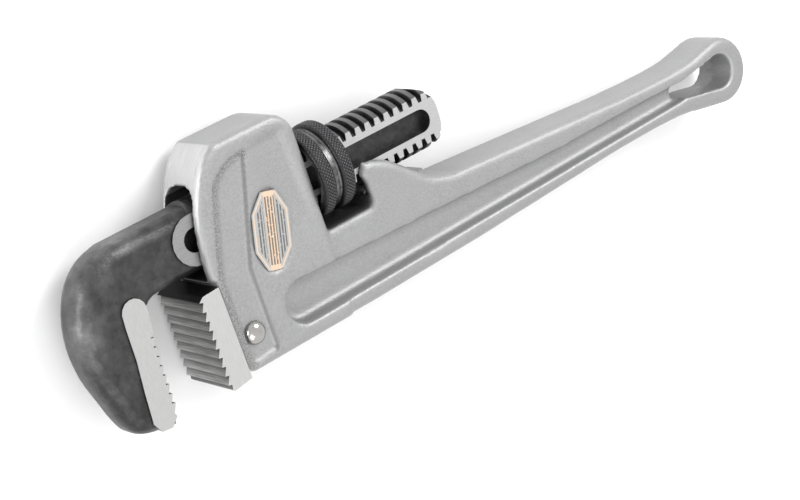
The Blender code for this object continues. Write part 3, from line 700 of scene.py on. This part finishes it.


# %% [markdown]
# ### Cast aluminium
#
# The casting has been tumbled: satin, light grey, with a fine orange-peel grain that shows as a
# shimmer of small highlights. Rubbed high edges are brighter, from wear and a painted highlight,
# and hollows keep a duller skin, darkened further as painted shade. The mesh's own curvature,
# which Blender calls pointiness, tells the one from the other. The bank is coarse and mottled,
# the panel's other sides have a dark line of painted shade, painted shade fills the insides, and
# fine streaks run across the front, which was ground after casting.

# %% Cast aluminium
WORN_HIGHLIGHT_CURVE = (0.515, 0.565)
HOLLOW_SHADE_CURVE = (0.48, 0.42)
FRONT_SHADE = (-6.0, 12.0)
FRONT_STREAKS = (0.15, 0.25, 5.0)
FRONT_SMOOTHER = 0.12
PLAIN_SKIN = (0.36, 0.36, 0.365)
WORN_HIGHLIGHT_SKIN, DULL_SHADED_SKIN = (0.55, 0.55, 0.555), (0.2, 0.2, 0.205)
WORN_HIGHLIGHT_MOST = DULL_SHADE_MOST = 0.7
STEP_SHADE_COLOUR, STEP_SHADE_MOST = (0.1, 0.1, 0.1), 0.6
PAINTED_SHADE_COLOUR, PAINTED_SHADE_MOST = (0.03, 0.03, 0.03), 0.9


def attribute_of(tree, name):
    return add(tree, "ShaderNodeAttribute", attribute_name=name).outputs["Fac"]


def cast_aluminium():
    material, tree, shader = new_material("cast_aluminium", (0.4, 0.4, 0.405), 0.5, 0.7)
    place_mm = object_place(tree)
    grain = noise(tree, place_mm, 1.6, 3, 0.6)
    coarse = noise(tree, place_mm, 3.5, 2)
    broad = noise(tree, place_mm, 0.11, 2)
    streaks = noise(tree, object_place(tree, FRONT_STREAKS), 1.0, 2)
    names = ("bank", "step_shade", "painted_shade", "ground")
    bank, step_shade, painted_shade, ground = (attribute_of(tree, name) for name in names)
    pointiness = add(tree, "ShaderNodeNewGeometry").outputs["Pointiness"]
    shaded = ramp(tree, split(tree, place_mm)[1], *FRONT_SHADE, 0.55, 1)
    colour = coats(
        tree,
        ramp(tree, grain, *NOISE_SPREAD, 0.285, 0.38),
        (ramp(tree, broad, *NOISE_SPREAD, 0, 0.5), PLAIN_SKIN),
        # wear and a painted highlight on high edges, then a duller skin with painted shade in
        # hollows
        (ramp(tree, pointiness, *WORN_HIGHLIGHT_CURVE, 0, WORN_HIGHLIGHT_MOST), WORN_HIGHLIGHT_SKIN),
        (ramp(tree, pointiness, *HOLLOW_SHADE_CURVE, 0, DULL_SHADE_MOST), DULL_SHADED_SKIN),
        (bank, ramp(tree, coarse, *NOISE_MIDDLE, 0.14, 0.42)),
        # painted shade: the dark line at the panel's step
        (product(tree, step_shade, STEP_SHADE_MOST), STEP_SHADE_COLOUR),
        # painted shade darkens the window, the channel and the seat
        (product(tree, painted_shade, PAINTED_SHADE_MOST), PAINTED_SHADE_COLOUR),
        (ground, product(tree, ramp(tree, streaks, *NOISE_SPREAD, 0.46, 0.6), shaded)),
    )
    tree.links.new(colour, shader.inputs["Base Color"])
    rough = ramp(tree, grain, *NOISE_SPREAD, 0.44, 0.54)
    smoother = math_node(tree, "SUBTRACT", rough, product(tree, ground, FRONT_SMOOTHER))
    tree.links.new(smoother, shader.inputs["Roughness"])
    height = math_node(tree, "ADD", grain, product(tree, coarse, bank))
    height = math_node(tree, "ADD", height, product(tree, streaks, ground))
    bump(tree, shader, height, 0.14, 0.9)
    return material


paint(casting, cast_aluminium())
print("casting is aluminium")

# %% [markdown]
# ### Forged and ground steel
#
# The hook jaw is one forging with two finishes. Most of it keeps its black oxide, with faint
# hammer marks and a soft painted sheen in the bend. The pad that carries the teeth, the ring round
# the slot's end and the flat sides of the shank were ground bright afterwards, and the crests of
# the thread are rubbed by the nut. Distance from the middle of the thickness tells the ground
# sides from the rest, because they are the only flats that stand at that height.

# %% Hook jaw
SHANK_SIDE = 7.1
GROUND_FLAT = (SHANK_SIDE - 0.14, SHANK_SIDE - 0.04)
SHANK_RADIUS = 10.3
THREAD_CREST = (SHANK_RADIUS - 0.5, SHANK_RADIUS - 0.1)
SHANK_START = (12.0, 14.0)
PAD_END = (-13.0, -12.0)
BEND_Y = (-34.0, -14.0)
BEND_X = (2.0, -8.0)
PATCH_SPREAD = (0.42, 0.66)
OXIDE_GREYS, PAINTED_SHEEN_GREYS = (0.032, 0.062), (0.11, 0.2)
PAD_GREYS = ((0.4, 0.4, 0.397), (0.58, 0.58, 0.575))
RING_GREYS = ((0.22, 0.22, 0.22), (0.4, 0.4, 0.4))
RAIL_GREYS = ((0.4, 0.4, 0.4), (0.6, 0.6, 0.6))
CREST_COLOUR, CREST_MOST = (0.14, 0.14, 0.142), 0.75


def off_axis(tree, y, z):
    """Distance from the shank's axis: the square root of y squared plus z squared."""
    squares = math_node(tree, "ADD", product(tree, y, y), product(tree, z, z))
    return math_node(tree, "SQRT", squares)


def ground_flats(tree, x, on_shank):
    """The ground sides' colour: the pad, then the ring behind it, then the shank's two rails."""
    pad_scratches, scratches = brushed(tree, (6.0, 0.3, 6.0)), brushed(tree, (0.25, 6.0, 6.0))
    pad = blend_colours(tree, pad_scratches, *PAD_GREYS)
    ring = blend_colours(tree, scratches, *RING_GREYS)
    rails = blend_colours(tree, scratches, *RAIL_GREYS)
    return coats(tree, pad, (ramp(tree, x, *PAD_END, 0, 1), ring), (on_shank, rails))


def hook_steel():
    material, tree, shader = new_material("forged_hook_steel", (0.03, 0.031, 0.033), 0.4, 0.85)
    place_mm = object_place(tree)
    x, y, z = split(tree, place_mm)
    on_side = ramp(tree, math_node(tree, "ABSOLUTE", z), *GROUND_FLAT, 0, 1)
    on_shank = ramp(tree, x, *SHANK_START, 0, 1)
    near_crest = ramp(tree, off_axis(tree, y, z), *THREAD_CREST, 0, CREST_MOST)
    blotches = noise(tree, place_mm, 0.35, 5, 0.65)
    sheen_patches = ramp(tree, noise(tree, place_mm, 0.06, 2), *PATCH_SPREAD, 0.15, 1)
    sheen_in_bend = product(tree, ramp(tree, y, *BEND_Y, 0.1, 1), ramp(tree, x, *BEND_X, 0.1, 1))
    colour = coats(
        tree,
        ramp(tree, blotches, *NOISE_SPREAD, *OXIDE_GREYS),
        # painted sheen: lighter patches in the bend
        (product(tree, sheen_patches, sheen_in_bend), ramp(tree, blotches, *NOISE_SPREAD, *PAINTED_SHEEN_GREYS)),
        (product(tree, near_crest, on_shank), CREST_COLOUR),
        (on_side, ground_flats(tree, x, on_shank)),
    )
    tree.links.new(colour, shader.inputs["Base Color"])
    rough = blend_colours(tree, on_side, (0.36, 0.36, 0.36), (0.4, 0.4, 0.4))
    tree.links.new(rough, shader.inputs["Roughness"])
    fine = noise(tree, place_mm, 1.7, 4, 0.6)
    bump(tree, shader, math_node(tree, "ADD", fine, product(tree, blotches, 2.0)), 0.12, 0.8)
    return material


paint(nodes["hook_jaw"], hook_steel())
print("hook jaw is forged and ground")

# %% [markdown]
# ### Heel jaw
#
# The heel jaw is bright steel, ground on its sides so that light runs along fine vertical
# scratches. Its teeth were cut by a shaper, which leaves lines across their width. Their crests
# are a painted highlight and their faces painted shade. Its top is coloured nearly black.

# %% Heel jaw
JAW_SIDE = (11.45, 11.55)
TOOTH_CREST = (-0.35, 0.75)
JAW_TOP = (-16.6, -16.2)
SIDE_GREYS = ((0.46, 0.46, 0.455), (0.68, 0.68, 0.675))
VALLEY_SHADE_COLOUR, CREST_HIGHLIGHT_COLOUR = (0.09, 0.09, 0.09), (0.6, 0.6, 0.595)
JAW_TOP_COLOUR = (0.035, 0.035, 0.035)


def heel_steel():
    material, tree, shader = new_material("heel_jaw_steel", (0.45, 0.45, 0.45), 0.3, 1.0)
    x, y, z = split(tree, object_place(tree))
    on_side = ramp(tree, math_node(tree, "ABSOLUTE", z), *JAW_SIDE, 0, 1)
    side_scratches, cut_lines = brushed(tree, (5.0, 0.25, 5.0)), brushed(tree, (3.0, 5.0, 0.12))
    lined = ramp(tree, cut_lines, *NOISE_MIDDLE, 0.45, 1.1)
    colour = coats(
        tree,
        VALLEY_SHADE_COLOUR,
        # painted highlight on the tooth crests, over painted shade in the valleys
        (product(tree, ramp(tree, x, *TOOTH_CREST, 1, 0), lined), CREST_HIGHLIGHT_COLOUR),
        # the top is coloured nearly black
        (ramp(tree, y, *JAW_TOP, 0, 1), JAW_TOP_COLOUR),
        (on_side, blend_colours(tree, side_scratches, *SIDE_GREYS)),
    )
    tree.links.new(colour, shader.inputs["Base Color"])
    rough = blend_colours(tree, on_side, (0.45, 0.45, 0.45), (0.4, 0.4, 0.4))
    tree.links.new(rough, shader.inputs["Roughness"])
    bump(tree, shader, cut_lines, 0.05, 0.5)
    return material


paint(nodes["heel_jaw"], heel_steel())
print("heel jaw is ground")

# %% [markdown]
# ### Nut, pin and springs
#
# The nut is blackened, and the tips of its knurl and the waist that a thumb rolls over are rubbed
# shiny. The pin's domed head is polished. The springs and rivet are plain steel with a little oil
# on them.

# %% Small steel pieces
KNURL_TIPS = (NUT_RADIUS - 0.12, NUT_RADIUS + 0.04)
COLLAR_START = (WAIST_RADIUS + 0.2, WAIST_RADIUS + 0.5)
BLACK_GREYS, RUBBED_GREYS = ((0.02, 0.02, 0.021), (0.05, 0.05, 0.052)), (0.09, 0.2)
TIP_COLOUR = (0.13, 0.13, 0.133)


def black_nut():
    material, tree, shader = new_material("blackened_nut", (0.02, 0.02, 0.021), 0.34, 0.9)
    place_mm = object_place(tree)
    _, y, z = split(tree, place_mm)
    across = off_axis(tree, y, z)
    blotches = noise(tree, place_mm, 0.6, 3)
    dark = blend_colours(tree, blotches, *BLACK_GREYS)
    colour = coats(
        tree,
        ramp(tree, blotches, *NOISE_MIDDLE, *RUBBED_GREYS),
        (ramp(tree, across, *COLLAR_START, 0, 1), dark),
        (ramp(tree, across, *KNURL_TIPS, 0, 1), TIP_COLOUR),
    )
    tree.links.new(colour, shader.inputs["Base Color"])
    tree.links.new(ramp(tree, blotches, *NOISE_SPREAD, 0.26, 0.38), shader.inputs["Roughness"])
    bump(tree, shader, noise(tree, place_mm, 3.0, 3), 0.03, 0.5)
    return material


def plain_steel(name, colour, roughness, grain_scale):
    """Steel whose colour and roughness wander a little together."""
    material, tree, shader = new_material(name, colour, roughness, 1.0)
    mottle = noise(tree, object_place(tree), grain_scale, 4)
    darker = tuple(c * 0.75 for c in colour)
    tree.links.new(blend_colours(tree, mottle, darker, colour), shader.inputs["Base Color"])
    rough = ramp(tree, mottle, *NOISE_SPREAD, roughness * 0.8, roughness * 1.25)
    tree.links.new(rough, shader.inputs["Roughness"])
    bump(tree, shader, mottle, 0.02, 0.5)
    return material


paint(nut, black_nut())
polished = plain_steel("polished_pin_steel", (0.5, 0.49, 0.47), 0.14, 0.5)
paint(nodes["heel_jaw_pin"], polished)
paint(leaf, plain_steel("leaf_spring_steel", (0.38, 0.38, 0.385), 0.4, 1.2))
paint(coil, plain_steel("coil_spring_steel", (0.4, 0.4, 0.41), 0.3, 1.5))
paint(nodes["spring_rivet"], plain_steel("rivet_steel", (0.38, 0.38, 0.385), 0.42, 1.0))
print("small steel pieces done")

# %% [markdown]
# ### Label
#
# The label is a printed foil: silver ground, a thin border, a tinted band down the middle and
# blocks of small print. The print is replaced by plain bars. All of it is drawn from two
# distances, along and across the label, so its lines stay crisp at any size. The label has eight
# sides, and the distance to its edge is the least of those to an end, a side and a corner.

# %% Label
LABEL_CENTRE = (29.9, -7.2)
LABEL_LEAN = 14.0
LABEL_HALF = (6.3, 11.5)
CORNER_SLOPE = 1.61
CORNER_SHRINK = 0.528
CORNER_REACH = 8.25
BORDER_IN, BORDER_HALF = 0.62, 0.2
BAND_HALF = 1.75
GAP_MIDDLE, GAP_HALF = 2.05, 0.3
PRINT_MARGIN = 1.5
ROWS_PER_MM, ROW_GAP = 1.02, 0.42
WORD_GAP = 0.38
FOIL_GREYS = ((0.35, 0.35, 0.345), (0.43, 0.43, 0.42))
TINT = (0.66, 0.5, 0.37)
INK_COLOUR, INK_MOST = (0.09, 0.085, 0.08), 0.85


def label_distances(tree, source):
    """Signed distance across the label, and the distances from its long and its short middle."""
    turned = add(tree, "ShaderNodeMapping")
    turned.inputs["Rotation"].default_value = (0, 0, math.radians(LABEL_LEAN))
    tree.links.new(minus(tree, source, (*LABEL_CENTRE, 0)), turned.inputs["Vector"])
    across, along, _ = split(tree, turned.outputs[0])
    return across, math_node(tree, "ABSOLUTE", across), math_node(tree, "ABSOLUTE", along)


def label_edge(tree, wide, long):
    """The least of the distances to a side, an end and a corner, where a corner's line leans."""
    corner = math_node(tree, "ADD", long, product(tree, wide, CORNER_SLOPE))
    corner = product(tree, corner, CORNER_SHRINK)
    limits = ((LABEL_HALF[0], wide), (LABEL_HALF[1], long), (CORNER_REACH, corner))
    side, end, corner = (math_node(tree, "SUBTRACT", limit, value) for limit, value in limits)
    return math_node(tree, "MINIMUM", math_node(tree, "MINIMUM", side, end), corner)


def label_ink(tree, across, wide, edge):
    """Bars where three tests hold: in a row, within the margins, and clear of the band's sides."""
    rows = math_node(tree, "FRACT", product(tree, across, ROWS_PER_MM))
    in_row = math_node(tree, "GREATER_THAN", rows, ROW_GAP)
    in_block = math_node(tree, "GREATER_THAN", edge, PRINT_MARGIN)
    off_gap = math_node(tree, "ABSOLUTE", math_node(tree, "SUBTRACT", wide, GAP_MIDDLE))
    beside_band = math_node(tree, "GREATER_THAN", off_gap, GAP_HALF)
    words = noise(tree, object_place(tree, (0.9, 0.9, 0.9)), 1.3, 2)
    broken = math_node(tree, "GREATER_THAN", words, WORD_GAP)
    return product(tree, product(tree, in_row, in_block), product(tree, broken, beside_band))


def label_print():
    material, tree, shader = new_material("label_foil", (0.6, 0.6, 0.6), 0.5, 0.3)
    source = object_place(tree)
    across, wide, long = label_distances(tree, source)
    edge = label_edge(tree, wide, long)
    on_border = math_node(tree, "COMPARE", edge, BORDER_IN)
    on_border.node.inputs[2].default_value = BORDER_HALF
    on_band = math_node(tree, "LESS_THAN", wide, BAND_HALF)
    foil = noise(tree, source, 1.5, 2)
    colour = coats(
        tree,
        blend_colours(tree, foil, *FOIL_GREYS),
        (math_node(tree, "MAXIMUM", on_border, on_band), TINT),
        (product(tree, label_ink(tree, across, wide, edge), INK_MOST), INK_COLOUR),
    )
    tree.links.new(colour, shader.inputs["Base Color"])
    return material


paint(nodes["caution_label"], label_print())
print("label printed")

# %% [markdown]
# ## Floor, light and camera
#
# A pale floor and a pale surround keep the grey metal's reflections light. The floor is one large
# square, a little under the wrench, and the surround is a plain world with no picture in it.

# %% Floor and world
FLOOR_SIZE = 8.0
FLOOR_DROP = 0.6
FLOOR_COLOUR = (0.93, 0.93, 0.93)
WORLD_STRENGTH = 1.12
WORLD_SPREAD = (-0.8, 0.8)
WORLD_WHITES = ((1, 1, 1), (0.88, 0.88, 0.88))


def pale_floor(size):
    corners = np.array([[-1, -1, 0], [1, -1, 0], [1, 1, 0], [-1, 1, 0]]) * size / 2
    corners += [0, 0, -FLOOR_DROP * MM]
    floor = mesh_object("pale_floor", corners, np.array([[0, 1, 2, 3]]))
    material, _, shader = new_material("pale_floor_paint", FLOOR_COLOUR, 0.85, 0.0)
    shader.inputs["Specular IOR Level"].default_value = 0.1
    paint(floor, material)


def soft_world(strength):
    """A plain room that is lighter on the handle's lower side than behind the shank."""
    world = bpy.data.worlds.new("soft_world")
    bpy.context.scene.world = world
    world.use_nodes = True
    tree = world.node_tree
    background = tree.nodes["Background"]
    _, y, _ = split(tree, add(tree, "ShaderNodeTexCoord").outputs["Generated"])
    shade = blend_colours(tree, ramp(tree, y, *WORLD_SPREAD, 0, 1), *WORLD_WHITES)
    tree.links.new(shade, background.inputs["Color"])
    background.inputs["Strength"].default_value = strength


pale_floor(FLOOR_SIZE)
soft_world(WORLD_STRENGTH)
print("floor and world placed")

# %% [markdown]
# Three square lamps shape the metal. The key stands over the label side, ahead of the jaws and on
# the side they open to, and gives the broad highlights. The crest light stands over the far end
# of the handle, on its other side, and draws the bright line along the handle's ridge. The jaw
# light is well ahead of the jaws and lower, and lifts the teeth and the ground front.


# %% Lamps
def soft_light(name, target, offset, size, power):
    """A square lamp of a given size in metres, offset from its target and turned to face it."""
    data = bpy.data.lights.new(name, "AREA")
    data.shape = "SQUARE"
    data.size = size
    data.energy = power
    where = target + Vector(offset)
    lamp = put_in_scene(name, data)
    lamp.location = where
    lamp.rotation_euler = (target - where).to_track_quat("-Z", "Y").to_euler()


head, handle = place(20, -10), place(120, -30)
soft_light("key", head, (-0.4, -0.45, 0.8), size=0.6, power=2.2)
soft_light("crest_light", handle, (0.45, 0.5, 0.7), size=0.35, power=5)
soft_light("jaw_light", head, (-0.8, 0.25, 0.3), size=0.4, power=3)
print("lights placed")

# %% [markdown]
# The camera looks at the label side from beyond the jaws. Its place, the directions of its sides
# and its lens were solved from known points on the wrench, so they are given as numbers.

# %% Camera
SENSOR_WIDTH = 36
LENS = 89.91
SHIFT_X, SHIFT_Y = -0.00104, -0.01845
CAMERA_PLACE = (-242.865, 159.386, 485.302)
CAMERA_RIGHT = Vector((0.74206, -0.28886, 0.60490))
CAMERA_DOWN = Vector((-0.41779, -0.90498, 0.08037))
CAMERA_AHEAD = Vector((0.52421, -0.31235, -0.79224))


def make_camera():
    """A camera whose turn has its right, its up and its backward direction as columns."""
    data = bpy.data.cameras.new("camera")
    data.sensor_width = SENSOR_WIDTH
    data.lens = LENS
    data.shift_x, data.shift_y = SHIFT_X, SHIFT_Y
    camera = put_in_scene("camera", data)
    turn = Matrix((CAMERA_RIGHT, -CAMERA_DOWN, -CAMERA_AHEAD)).transposed().to_4x4()
    camera.matrix_world = Matrix.Translation(place(*CAMERA_PLACE)) @ turn
    bpy.context.scene.camera = camera


make_camera()
bpy.context.scene.view_settings.view_transform = "Standard"
print("camera placed")
